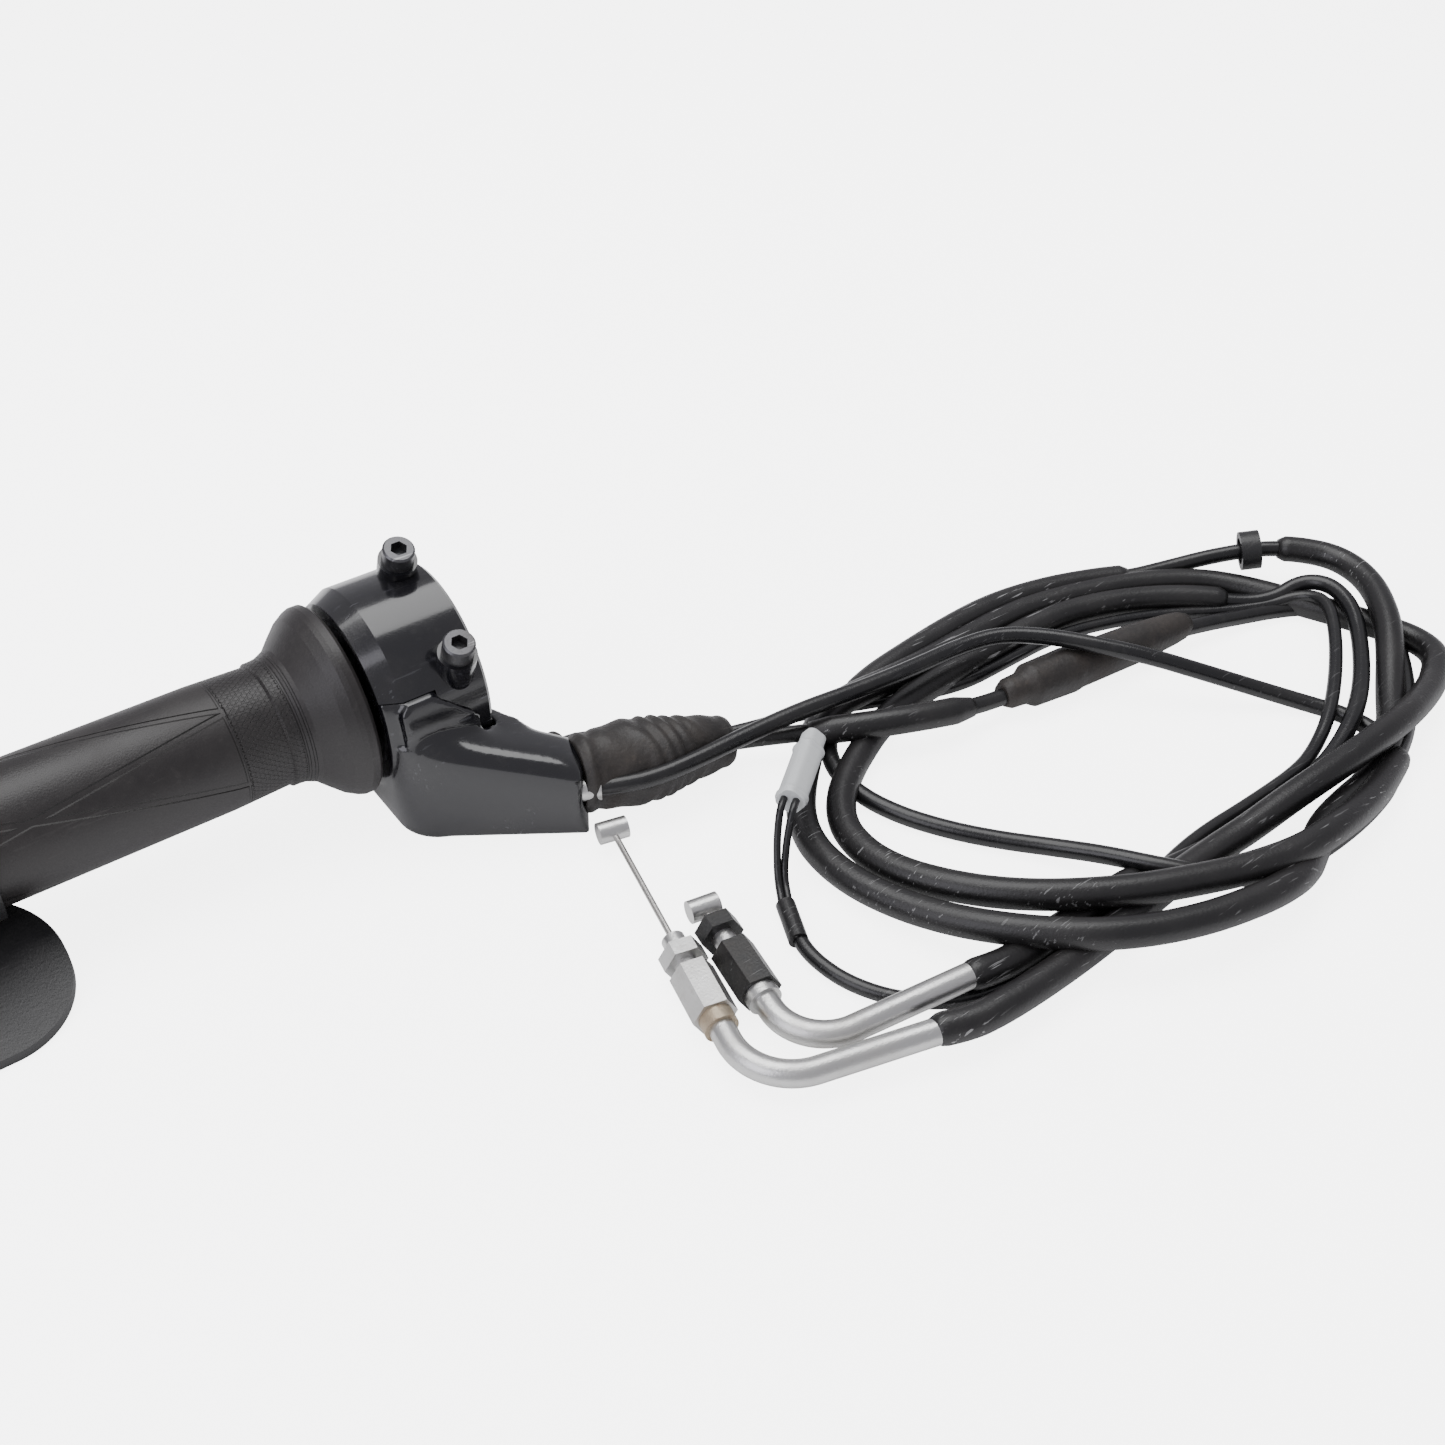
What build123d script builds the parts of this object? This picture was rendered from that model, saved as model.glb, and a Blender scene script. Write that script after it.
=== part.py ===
from build123d import *
import os
from math import acos, atan2, cos, degrees, pi, radians, sin, tan

os.makedirs("parts", exist_ok=True)

# A twist-grip throttle for a motorcycle handlebar, with its two control cables and a switch lead.
# Millimetres. +X runs along the handlebar towards the middle of the machine, so the bar end is at -X.
# +Z is up, away from the surface that everything lies on.
# The origin is the centre of the handlebar clamp.

# Surface and handlebar
FLOOR_Z = -32.0
BAR_R = 11.1
RUN_GAP = 0.3

# Housing, along X: the clamp is the inner half and the pulley chamber the outer half
HOUSING_X0 = -22.0
HOUSING_X1 = 7.0
CHAMBER_X0 = -20.0
CHAMBER_X1 = -8.5
CLAMP_X0 = -7.5
HOUSING_R = 28.0
CHAMBER_R = 24.5
CHAMBER_SPLIT_Z = 11.2
SPLIT_GAP = 0.2
ROLL = 22.9
BOLT_X = 0.0
BOLT_OFFSET = 16.0
BOLT_SEAT = 28.0
BOLT_BOSS_R = 5.2
BOLT_R = 2.5
BOLT_HEAD_R = 4.25
BOLT_HEAD_H = 5.0

# Cable case under the bar and its neck
CASE_TOP_Z = -1.5
CASE_BACK_Y = 3.0
NECK_TOP_Z = -12.5
COVER_TOP_Z = -25.5
SHOULDER_R = 29.6
NECK_FACE_FRONT = (18.2, -55.2)
NECK_FACE_BACK = (28.0, -38.4)
NECK_TURN = -30.0
WIRE_GATE = (0.0, -21.0, -13.0)
WIRE_PORT_R = 2.2
FERRULE_R = 3.3
NECK_PULL = (20.4, -50.6, -19.4)
NECK_RETURN = (24.4, -43.9, -20.0)

# Throttle tube, pulley and grip
TUBE_R = 13.6
TUBE_BORE_R = 11.4
TUBE_X0 = -150.0
PULLEY_X0 = -18.6
PULLEY_X1 = -9.6
PULLEY_R = 21.0
GROOVE_R = 18.5
PULL_GROOVE_X = -16.4
RETURN_GROOVE_X = -11.8
PULL_END_ANGLE = 20.0
RETURN_END_ANGLE = 400.0
TURN_RANGE = 72.0
GRIP_R = 17.0
GRIP_NECK_R = 16.4
GRIP_X0 = -147.0
GRIP_X1 = -24.4
FLANGE_R = 26.5
WASHER_T = 1.2

# Palm rest
REST_X0 = -154.0
REST_X1 = -110.0
REST_T = 2.6
REST_RING_R = 19.6
REST_RING_X0 = -137.0
REST_RING_X1 = -119.0

# Cables
CABLE_R = 2.5
SLEEVE_R = 4.2
LEAD_R = 2.0
WIRE_R = 0.8
CABLE_Z = FLOOR_Z + 4.3
COIL_TOP_Z = -15.0
CONNECTOR_Z = COIL_TOP_Z + 3.3

# Cable ends
END_Z = -26.1
PIPE_R = 3.3
THREAD_R = 3.0
HEX_AF = 10.0
NIPPLE_R = 3.0
NIPPLE_L = 8.0

AXIS_X = Plane.YZ
PARTS = {}


def add(name, shape):
    PARTS[name] = shape


def ring_x(r_out, r_in, x0, x1):
    """A tube or disc round the handlebar axis."""
    body = Plane(origin=(x0, 0, 0), z_dir=(1, 0, 0)) * Circle(r_out)
    solid = extrude(body, amount=x1 - x0)
    if r_in:
        hole = Plane(origin=(x0 - 1, 0, 0), z_dir=(1, 0, 0)) * Circle(r_in)
        solid -= extrude(hole, amount=x1 - x0 + 2)
    return solid


def turned_x(profile):
    """A closed (x, radius) outline turned round the handlebar axis."""
    face = make_face(Polyline(*[(x, r) for x, r in profile], close=True))
    return revolve(face, Axis.X)


def between(start, end, radius, hole=0.0, sides=0):
    """A round or hexagonal bar from one point to another, with an optional hole."""
    run = Vector(*end) - Vector(*start)
    plane = Plane(origin=start, z_dir=run)
    outline = RegularPolygon(radius, sides, major_radius=False) if sides else Circle(radius)
    solid = extrude(plane * outline, amount=run.length)
    if hole:
        back = Plane(origin=Vector(*start) - run.normalized(), z_dir=run)
        solid -= extrude(back * Circle(hole), amount=run.length + 2)
    return solid


def rolled(shape):
    """Turn a shape from the clamp's own upright into the way that the housing lies."""
    return Rot(X=ROLL) * shape


def along(start, direction, distance):
    """The point at a distance from start along a unit direction."""
    return tuple(s + d * distance for s, d in zip(start, direction))


def route_radii(points):
    """The largest arc that each corner of a route allows: 0.45 of the shorter run beside it."""
    radii = []
    for before, here, after in zip(points, points[1:], points[2:]):
        run_in = Vector(*here) - Vector(*before)
        run_out = Vector(*after) - Vector(*here)
        turn = radians(run_in.get_angle(run_out))
        radii.append(0.45 * min(run_in.length, run_out.length) / tan(turn / 2))
    return radii


def cord(name, points, radius, hole=0.0):
    """A cable's tube: straight runs joined by tangent arcs."""
    radii = route_radii(points)
    path = FilletPolyline(*points, radius=radii)
    start = Plane(origin=path @ 0, z_dir=path % 0)
    tube = sweep(start * Circle(radius), path=path)
    if hole:
        tube -= sweep(start * Circle(hole), path=path)
    section = pi * (radius ** 2 - hole ** 2)
    print(f"{name}: length {path.length:.1f}, radii {min(radii):.1f} to {max(radii):.1f},",
          f"volume ratio {tube.volume / (section * path.length):.4f}")
    return tube


# ---------------------------------------------------------------- housing

def case_outline():
    """The plan of the cable case and its neck, seen from above."""
    left = Line((-21.5, CASE_BACK_Y), (-21.5, -21))
    corner = ThreePointArc((-21.5, -21), (-19.4, -29), (-13, -34.2))
    front = Line((-13, -34.2), NECK_FACE_FRONT)
    face = Line(NECK_FACE_FRONT, NECK_FACE_BACK)
    back = ThreePointArc(NECK_FACE_BACK, (14.5, -26.5), (6.9, -10))
    inner = Line((6.9, -10), (6.9, CASE_BACK_Y))
    close = Line((6.9, CASE_BACK_Y), (-21.5, CASE_BACK_Y))
    return make_face(left + corner + front + face + back + inner + close)


def case_block(z0, z1):
    """The case between two heights, with its top sloping down along the neck."""
    block = extrude(Plane(origin=(0, 0, z0)) * case_outline(), amount=z1 - z0)
    slope = Polyline((-9, CASE_TOP_Z), (31, NECK_TOP_Z), (31, 5), (-9, 5), close=True)
    wedge = extrude(Plane.XZ * make_face(slope), amount=80)
    return block - wedge


def wire_port(x, neck_point):
    """The straight channel that an inner wire takes from the pulley chamber to the neck's end."""
    return between((x, WIRE_GATE[1], WIRE_GATE[2]), neck_point, WIRE_PORT_R)


def housing_outer():
    """The barrel of the housing, with a broad bevel on the grip's side."""
    return turned_x([
        (HOUSING_X0, 0), (HOUSING_X0, HOUSING_R - 2.6), (HOUSING_X0 + 5.5, HOUSING_R),
        (HOUSING_X1 - 1, HOUSING_R), (HOUSING_X1, HOUSING_R - 1), (HOUSING_X1, 0),
    ])


def bolt_bosses(height0, height1):
    """Round bosses for the two clamp bolts, one each side of the bar."""
    posts = []
    for side in (-1, 1):
        foot = (BOLT_X, side * BOLT_OFFSET, height0)
        top = (BOLT_X, side * BOLT_OFFSET, height1)
        posts.append(between(foot, top, BOLT_BOSS_R))
    return rolled(posts[0] + posts[1])


def bolt_holes(radius, height0, height1):
    holes = []
    for side in (-1, 1):
        foot = (BOLT_X, side * BOLT_OFFSET, height0)
        top = (BOLT_X, side * BOLT_OFFSET, height1)
        holes.append(between(foot, top, radius))
    return rolled(holes[0] + holes[1])


def above_split():
    """The space that the cap may fill: over the bar at the clamp, over a level line at the chamber."""
    clamp = rolled(Pos(CLAMP_X0 + 20, 0, 40 + SPLIT_GAP / 2) * Box(40, 90, 80))
    chamber_length = CLAMP_X0 - HOUSING_X0 + 2
    chamber = Pos(CLAMP_X0 - chamber_length / 2, 0, CHAMBER_SPLIT_Z + 40) * Box(chamber_length, 90, 80)
    return clamp + chamber


def below_split():
    """The space that the body may fill, a small gap under the cap."""
    clamp = rolled(Pos(CLAMP_X0 + 20, 0, -60 - SPLIT_GAP / 2) * Box(40, 150, 120))
    chamber_length = CLAMP_X0 - HOUSING_X0 + 2
    middle = CLAMP_X0 - chamber_length / 2
    chamber = Pos(middle, 0, CHAMBER_SPLIT_Z - SPLIT_GAP - 60) * Box(chamber_length, 150, 120)
    return clamp + chamber


def housing_hollows():
    """What is cut out of both halves: the bar's bore, the pulley chamber and the tube's hole."""
    bore = ring_x(BAR_R, 0, CHAMBER_X1 - 1, HOUSING_X1 + 1)
    chamber = ring_x(CHAMBER_R, 0, CHAMBER_X0, CHAMBER_X1)
    tube_hole = ring_x(TUBE_R + RUN_GAP, 0, HOUSING_X0 - 1, CHAMBER_X0 + 1)
    return bore + chamber + tube_hole


def shoulder():
    """The case's raised rim that wraps the front of the barrel and falls away towards the neck."""
    wrap = ring_x(SHOULDER_R, HOUSING_R - 3, HOUSING_X0 + 3.5, CLAMP_X0)
    wrap += ring_x(SHOULDER_R, HOUSING_R + 0.15, CLAMP_X0 - 0.5, 3.0)
    side = Polyline((HOUSING_X0, -24), (HOUSING_X0, 2), (HOUSING_X0 + 4, 9), (-16, CHAMBER_SPLIT_Z - SPLIT_GAP),
                    (-9, CHAMBER_SPLIT_Z - SPLIT_GAP), (3.5, 0), (3.5, -24), close=True)
    return wrap & extrude(Plane.XZ * make_face(side), amount=60)


def wire_leave_angle(upper):
    """Where the straight wire meets its groove as a tangent, in degrees up from +Y."""
    reach = (WIRE_GATE[1] ** 2 + WIRE_GATE[2] ** 2) ** 0.5
    bearing = degrees(atan2(WIRE_GATE[2], WIRE_GATE[1])) % 360
    swing = degrees(acos(GROOVE_R / reach))
    return bearing - swing if upper else bearing + swing


def make_housing():
    hollows = housing_hollows()
    cap = (housing_outer() + bolt_bosses(2, BOLT_SEAT)) & above_split()
    cap = cap - hollows - bolt_holes(BOLT_R + 0.25, -5, BOLT_SEAT + 1)
    add("housing_cap", cap)

    case = case_block(COVER_TOP_Z, CASE_TOP_Z)
    top_edges = case.edges().filter_by(lambda e: e.center().Z > NECK_TOP_Z - 1.5 and e.center().Y < -30)
    case = fillet(top_edges, 4.0) + shoulder()
    cap_room = ring_x(HOUSING_R + 0.15, 0, CLAMP_X0 - 0.15, HOUSING_X1 + 1)
    cap_room &= rolled(Pos(0, 0, 40 - SPLIT_GAP / 2) * Box(90, 90, 80))
    body = (housing_outer() & below_split()) + (case - cap_room)
    body -= Pos(0, CASE_BACK_Y - 100, COVER_TOP_Z - 50) * Box(200, 200, 100)
    pocket = Pos((PULL_GROOVE_X + RETURN_GROOVE_X) / 2, -20.5, -10.5) * Box(7.6, 11, 27)
    body = body - hollows - pocket - bolt_holes(BOLT_R, -14, 2)
    for x, port in ((PULL_GROOVE_X, NECK_PULL), (RETURN_GROOVE_X, NECK_RETURN)):
        body -= wire_port(x, port)
    turn = (cos(radians(NECK_TURN)), sin(radians(NECK_TURN)), 0)
    body -= between(along(NECK_PULL, turn, -7), along(NECK_PULL, turn, 3), FERRULE_R)
    body -= between(along(NECK_RETURN, turn, -7), along(NECK_RETURN, turn, 3), THREAD_R + 1)
    for spot in COVER_SCREWS:
        body -= between((*spot, COVER_TOP_Z - 1), (*spot, COVER_TOP_Z + 4.6), 1.6)
    add("housing_body", body)

    cover = case_block(FLOOR_Z, COVER_TOP_Z)
    cover = fillet(cover.edges().filter_by(lambda e: e.center().Z < FLOOR_Z + 0.1), 2.2)
    for spot in COVER_SCREWS:
        cover -= between((*spot, FLOOR_Z - 1), (*spot, COVER_TOP_Z + 1), 1.8)
        cover -= between((*spot, FLOOR_Z - 1), (*spot, FLOOR_Z + 2.6), 3.4)
    add("case_cover", cover)

    screws = []
    for spot in COVER_SCREWS:
        head = between((*spot, FLOOR_Z + 0.4), (*spot, FLOOR_Z + 2.6), 3.3)
        head -= between((*spot, FLOOR_Z), (*spot, FLOOR_Z + 1.4), 1.3, sides=6)
        screws.append(head + between((*spot, FLOOR_Z + 2.4), (*spot, COVER_TOP_Z + 4.3), 1.55))
    add("cover_screws", Compound(children=screws))


COVER_SCREWS = ((-15.0, -12.0), (-6.0, -30.5), (16.0, -39.0))


def make_clamp_bolts():
    bolts = []
    for side in (-1, 1):
        y = side * BOLT_OFFSET
        shank = between((BOLT_X, y, -13), (BOLT_X, y, BOLT_SEAT), BOLT_R - 0.05)
        head = between((BOLT_X, y, BOLT_SEAT), (BOLT_X, y, BOLT_SEAT + BOLT_HEAD_H), BOLT_HEAD_R)
        head = chamfer(head.edges().filter_by(GeomType.CIRCLE).sort_by(Axis.Z)[-1], 0.5)
        socket_top = (BOLT_X, y, BOLT_SEAT + BOLT_HEAD_H + 1)
        head -= between((BOLT_X, y, BOLT_SEAT + 2), socket_top, 2.0, sides=6)
        bolts.append(rolled(shank + head))
    add("clamp_bolts", Compound(children=bolts))


# ---------------------------------------------------------------- throttle

def make_throttle():
    tube = turned_x([
        (TUBE_X0, TUBE_BORE_R), (TUBE_X0, TUBE_R), (PULLEY_X0, TUBE_R), (PULLEY_X0, PULLEY_R),
        (PULL_GROOVE_X - 1.2, PULLEY_R), (PULL_GROOVE_X - 1.2, GROOVE_R - 0.9),
        (PULL_GROOVE_X + 1.2, GROOVE_R - 0.9), (PULL_GROOVE_X + 1.2, PULLEY_R),
        (RETURN_GROOVE_X - 1.2, PULLEY_R), (RETURN_GROOVE_X - 1.2, GROOVE_R - 0.9),
        (RETURN_GROOVE_X + 1.2, GROOVE_R - 0.9), (RETURN_GROOVE_X + 1.2, PULLEY_R),
        (PULLEY_X1, PULLEY_R), (PULLEY_X1, TUBE_BORE_R),
    ])
    pockets = ((PULL_GROOVE_X, PULL_END_ANGLE, "pull_drum_nipple"),
               (RETURN_GROOVE_X, RETURN_END_ANGLE, "return_drum_nipple"))
    for x, angle, name in pockets:
        y = (GROOVE_R - 0.9) * cos(radians(angle))
        z = (GROOVE_R - 0.9) * sin(radians(angle))
        tube -= between((x - 2.2, y, z), (x + 2.2, y, z), 2.1)
        add(name, between((x - 2.0, y, z), (x + 2.0, y, z), 2.0))
    add("throttle_tube", tube)

    pull_leaves = wire_leave_angle(True)
    return_leaves = wire_leave_angle(False)
    wraps = ((PULL_GROOVE_X, PULL_END_ANGLE + 7.5, pull_leaves - 3, "pull_drum_wire"),
             (RETURN_GROOVE_X, return_leaves + TURN_RANGE + 4, RETURN_END_ANGLE - 7.5, "return_drum_wire"))
    for x, angle0, angle1, name in wraps:
        section = Plane.XY * Pos(x, GROOVE_R) * Circle(WIRE_R)
        arc = revolve(section, Axis.X, revolution_arc=angle1 - angle0)
        add(name, Rot(X=angle0) * arc)

    grip = turned_x([
        (GRIP_X0, TUBE_R), (GRIP_X0, GRIP_R - 0.2), (GRIP_X0 + 2.0, GRIP_R + 1.0),
        (GRIP_X0 + 5.0, GRIP_R + 1.0), (GRIP_X0 + 6.5, GRIP_R), (-60, GRIP_R),
        (-44.5, GRIP_NECK_R), (-43.9, GRIP_NECK_R + 0.7), (-42.4, GRIP_NECK_R + 0.7),
        (-40.5, GRIP_NECK_R + 0.9), (-37.5, 18.6), (-34.5, 21.6), (-31.5, 24.4),
        (-28.8, 26.0), (-27.4, FLANGE_R), (-25.4, FLANGE_R), (GRIP_X1, FLANGE_R - 0.9),
        (GRIP_X1, TUBE_R),
    ])
    add("grip_rubber", grip)
    add("thrust_washer", ring_x(20.5, TUBE_R, GRIP_X1, GRIP_X1 + WASHER_T))




def make_palm_rest():
    """A clip round the outer end of the grip, with a broad curved paddle that hangs in front."""
    middle = (REST_X0 + REST_X1) / 2
    ring_in = GRIP_R
    ring = ring_x(REST_RING_R, ring_in, REST_RING_X0, REST_RING_X1)
    ring_middle = (REST_RING_X0 + REST_RING_X1) / 2
    ring -= Pos(ring_middle, 16, 14) * Rot(X=-40) * Box(20, 5, 30)
    upper = ThreePointArc((-1, -REST_RING_R + 2.3), (-21, -24.6), (-41, FLOOR_Z + REST_T))
    lower = ThreePointArc((-41, FLOOR_Z), (-22, -27.4), (-1, -REST_RING_R - 0.4))
    side = upper + Line(upper @ 1, lower @ 0) + lower + Line(lower @ 1, upper @ 0)
    plate = extrude(Plane(origin=(REST_X0, 0, 0), x_dir=(0, 1, 0), z_dir=(1, 0, 0)) * make_face(side),
                    amount=REST_X1 - REST_X0)
    outline = Pos(middle, -20) * RectangleRounded(REST_X1 - REST_X0, 42, 20)
    plate &= extrude(Plane(origin=(0, 0, -60)) * outline, amount=80)
    rest = ring + plate
    rest -= ring_x(ring_in, 0, REST_X0 - 5, REST_X1 + 5)
    add("palm_rest", rest)


# ---------------------------------------------------------------- inside the neck and at its end

def make_neck_fittings():
    turn = (cos(radians(NECK_TURN)), sin(radians(NECK_TURN)), 0)
    add("pull_ferrule", between(along(NECK_PULL, turn, -6.8), along(NECK_PULL, turn, 4.0), FERRULE_R, 1.2))
    stop = between(along(NECK_RETURN, turn, -6.8), along(NECK_RETURN, turn, 9.0), THREAD_R, 1.2)
    stop += between(along(NECK_RETURN, turn, 1.6), along(NECK_RETURN, turn, 5.6), 3.8, 1.2, sides=6)
    add("return_stop", stop)
    for name, x, port, angle in (
        ("pull_inner_wire", PULL_GROOVE_X, NECK_PULL, wire_leave_angle(True)),
        ("return_inner_wire", RETURN_GROOVE_X, NECK_RETURN, wire_leave_angle(False)),
    ):
        leave = (x, GROOVE_R * cos(radians(angle)), GROOVE_R * sin(radians(angle)))
        gate = (x, WIRE_GATE[1], WIRE_GATE[2])
        path = FilletPolyline(leave, gate, port, radius=2.5)
        start = Plane(origin=path @ 0, z_dir=path % 0)
        add(name, sweep(start * Circle(WIRE_R - 0.1), path=path))


def make_boot():
    """The rubber boot over the return cable's stop: a wide wrinkled mouth and a narrow tail."""
    start = Vector(*BOOT_START)
    run = Vector(*BOOT_END) - start
    length = run.length
    outer = ((0.0, 11.6), (1.5, 12.2), (4.0, 12.2), (6.0, 11.0), (10.0, 11.6), (15.0, 10.2), (21.0, 10.2),
             (27.0, 9.6), (33.0, 7.0), (37.5, 6.0), (39.5, 6.2), (40.0, 7.2), (length, 7.2))
    inner = ((length, CABLE_R), (34.0, CABLE_R), (26.0, 7.6), (10.0, 9.2), (0.0, 10.2))
    face = make_face(Polyline(*[(d, r) for d, r in outer + inner], close=True))
    boot = revolve(face, Axis.X)
    plane = Plane(origin=start, x_dir=run, z_dir=run.cross(Vector(0, 1, 0)))
    boot = plane * boot
    turn = (cos(radians(NECK_TURN)), sin(radians(NECK_TURN)), 0)
    neck_cut = between(along(NECK_PULL, turn, -6), along(NECK_PULL, turn, 30), FERRULE_R + 0.4)
    keep = Plane(origin=(23.2, -46.9, -20), z_dir=turn)
    shield = extrude(keep * Rectangle(120, 120), amount=120)
    boot = (boot & shield) - neck_cut
    if len(boot.solids()) > 1:
        boot = boot.solids().sort_by(SortBy.VOLUME)[-1]
    add("cable_boot", boot)


BOOT_START = (20.6, -43.8, -19.4)
BOOT_END = (66.0, -51.2, -24.7)


# ---------------------------------------------------------------- cables

PULL_ROUTE = (
    (22.9, -52.1, -19.4), (29.4, -55.9, -18.6), (37.8, -59.7, -17.3), (50.4, -60.6, -16.8),
    (64.0, -60.3, -16.8), (80.0, -60.8, -16.6), (95.0, -62.0, -16.8),
)
PULL_CROSSING = (
    (140.5, -64.9, -16.5), (153.4, -68.4, -15.6), (164.0, -78.0, -15.4), (173.6, -89.2, -16.0),
    (183.1, -100.0, -17.6), (193.4, -110.6, -21.2), (204.6, -121.2, -25.6), (214.6, -132.4, -28.8),
    (221.0, -143.5, -29.4),
)
RETURN_ROUTE = (
    (32.2, -48.4, -20.5), (44.0, -48.8, -22.0), (56.0, -49.8, -23.8), (66.5, -52.4, -24.8),
    (75.5, -57.0, -24.4), (84.5, -63.2, -22.6), (94.0, -70.6, -20.0), (106.5, -77.4, -19.4),
    (119.5, -81.4, -20.2), (131.5, -82.6, -22.8), (142.6, -82.6, -25.0), (153.0, -83.4, -25.3),
    (170.0, -85.2, -25.3), (190.0, -87.3, -25.3), (207.0, -89.3, -25.5), (221.0, -92.0, -26.8),
    (235.0, -96.0, -28.8), (246.5, -100.5, -29.4),
)
SHORT_SLEEVE = (
    (87.5, -65.6, -21.8), (94.8, -71.2, -20.0), (106.5, -77.4, -19.4), (119.5, -81.4, -20.2),
    (131.5, -82.5, -22.8),
)
LEAD_ROUTE = (
    (19.0, -29.8, -21.0), (29.5, -26.4, -23.0), (41.0, -29.0, -26.4), (53.0, -36.0, -29.4),
    (66.0, -42.6, -29.9), (80.0, -46.4, -29.9), (95.0, -48.5, -29.9), (110.0, -49.6, -29.9),
)
LEAD_TAIL = (
    (100.0, -161.0, -29.9), (86.0, -162.4, -29.9), (72.0, -161.6, -29.9), (58.5, -157.8, -29.9),
    (47.0, -149.8, -29.9), (40.0, -138.5, -29.9), (37.7, -127.5, -29.8), (38.4, -118.0, -29.7),
)
PULL_TAIL = ((43.6, -164.2, -24.4), (57.0, -167.4, -24.4), (72.0, -167.2, -25.2), (88.0, -165.4, -26.8),
             (102.0, -163.6, -27.6))
RETURN_TAIL = ((61.0, -156.1, -24.2), (74.0, -157.8, -24.2), (88.0, -156.8, -24.6), (102.0, -155.0, -25.4))

COIL_OUTSIDE = (
    (56.2, -99), (57.0, -114), (61.0, -129), (69.0, -147), (80.5, -162.5), (101, -178), (126, -186.4),
    (152, -188.4), (184, -184), (216, -171.5), (240, -163), (262, -154), (276, -136), (279, -112),
    (278, -96), (266, -79), (248, -66.5), (226, -54), (200, -43.5), (172, -40.5), (140, -45), (112, -46.6),
    (90, -56), (69, -73),
)
COIL_INSIDE = (
    (92, -101), (101, -116), (112, -131), (124, -144.5), (148, -148.4), (176, -148.6), (206, -141),
    (232, -124.5), (245, -108), (238, -95.5), (222, -84.5), (204, -74.5), (184, -70.5), (160, -71.5),
    (138, -76.5), (118, -86.5), (98, -83), (89, -89),
)


def make_cables():
    add("pull_cable", cord("pull_cable", PULL_ROUTE, CABLE_R))
    add("pull_cable_crossing", cord("pull_cable_crossing", PULL_CROSSING, CABLE_R))
    add("return_cable", cord("return_cable", RETURN_ROUTE, CABLE_R))
    add("return_short_sleeve", cord("return_short_sleeve", SHORT_SLEEVE, SLEEVE_R - 0.4, CABLE_R))
    add("switch_lead", cord("switch_lead", LEAD_ROUTE, LEAD_R))
    add("switch_lead_tail", cord("switch_lead_tail", LEAD_TAIL, LEAD_R))
    add("pull_end_sleeve", cord("pull_end_sleeve", PULL_TAIL, SLEEVE_R))
    add("return_end_sleeve", cord("return_end_sleeve", RETURN_TAIL, SLEEVE_R))

    outside = make_face(Spline(*COIL_OUTSIDE, periodic=True))
    inside = make_face(Spline(*COIL_INSIDE, periodic=True))
    ring = extrude(Plane(origin=(0, 0, FLOOR_Z)) * (outside - inside), amount=COIL_TOP_Z - FLOOR_Z)
    ring = chamfer(ring.faces().sort_by(Axis.Z)[-1].edges(), 3.0)
    add("cable_coil", ring)
    add("lead_grommet", between((18.2, -30.0, -20.9), (25.0, -27.7, -22.2), 4.2, LEAD_R))

    clip_run = Vector(0.75, -0.63, 0.19)
    clip_start = Vector(253.0, -75.6, -21.4)
    clip_end = clip_start + clip_run * 6.0
    add("cable_clip", between(tuple(clip_start), tuple(clip_end), SLEEVE_R + 2.0, SLEEVE_R))


def make_adjuster():
    """The in-line adjuster of the return cable, under its two-step rubber cover."""
    start = Vector(142.6, -81.9, -25.3)
    run = Vector(75.0, -7.6, 0.0)
    plane = Plane(origin=start, x_dir=run, z_dir=(0, 0, 1))
    outer = ((0.0, 3.4), (1.0, 4.6), (11.0, 5.4), (14.0, 6.2), (17.0, 6.7), (44.0, 6.7), (52.0, 5.6),
             (57.0, 4.4), (70.0, 4.1), (71.0, 3.6), (71.0, CABLE_R))
    inner = ((58.0, CABLE_R), (52.0, 4.1), (44.0, 5.4), (14.0, 5.4), (11.0, CABLE_R), (0.0, CABLE_R))
    face = make_face(Polyline(*outer, *inner, close=True))
    add("adjuster_cover", plane * revolve(face, Axis.X))
    barrel = ((18.0, CABLE_R), (18.0, 4.2), (26.0, 4.2), (26.0, 3.2), (40.0, 3.2), (40.0, CABLE_R))
    face = make_face(Polyline(*barrel, close=True))
    add("inline_adjuster", plane * revolve(face, Axis.X))


def elbow(prefix, tip, direction, lengths, bend_r, tail_end):
    """One cable end: threaded stop, lock nut, long hexagon, collar and a pipe bent a quarter turn."""
    tip = (*tip, END_Z)
    lock_at, hex_at, hex_end, collar_end = lengths
    add(f"{prefix}_thread", between(tip, along(tip, direction, hex_at + 3), THREAD_R, 1.3))
    start = along(tip, direction, lock_at)
    add(f"{prefix}_lock_nut", between(start, along(start, direction, 4.4), HEX_AF / 2, THREAD_R, sides=6))
    hexagon = between(along(tip, direction, hex_at), along(tip, direction, hex_end), HEX_AF / 2, sides=6)
    hexagon -= between(along(tip, direction, hex_at - 1), along(tip, direction, hex_at + 3), THREAD_R)
    hexagon -= between(along(tip, direction, hex_at), along(tip, direction, hex_end + 1), 1.3)
    add(f"{prefix}_adjuster_hex", hexagon)
    collar = between(along(tip, direction, hex_end), along(tip, direction, collar_end), 4.3, 1.3)
    add(f"{prefix}_collar", collar)
    corner = along(tip, direction, collar_end + PIPE_STRAIGHT + bend_r)
    path = FilletPolyline(along(tip, direction, collar_end), corner, tail_end, radius=bend_r)
    start = Plane(origin=path @ 0, z_dir=path % 0)
    pipe = sweep(start * Circle(PIPE_R), path=path) - sweep(start * Circle(1.3), path=path)
    add(f"{prefix}_elbow_pipe", pipe)
    return tip


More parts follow.
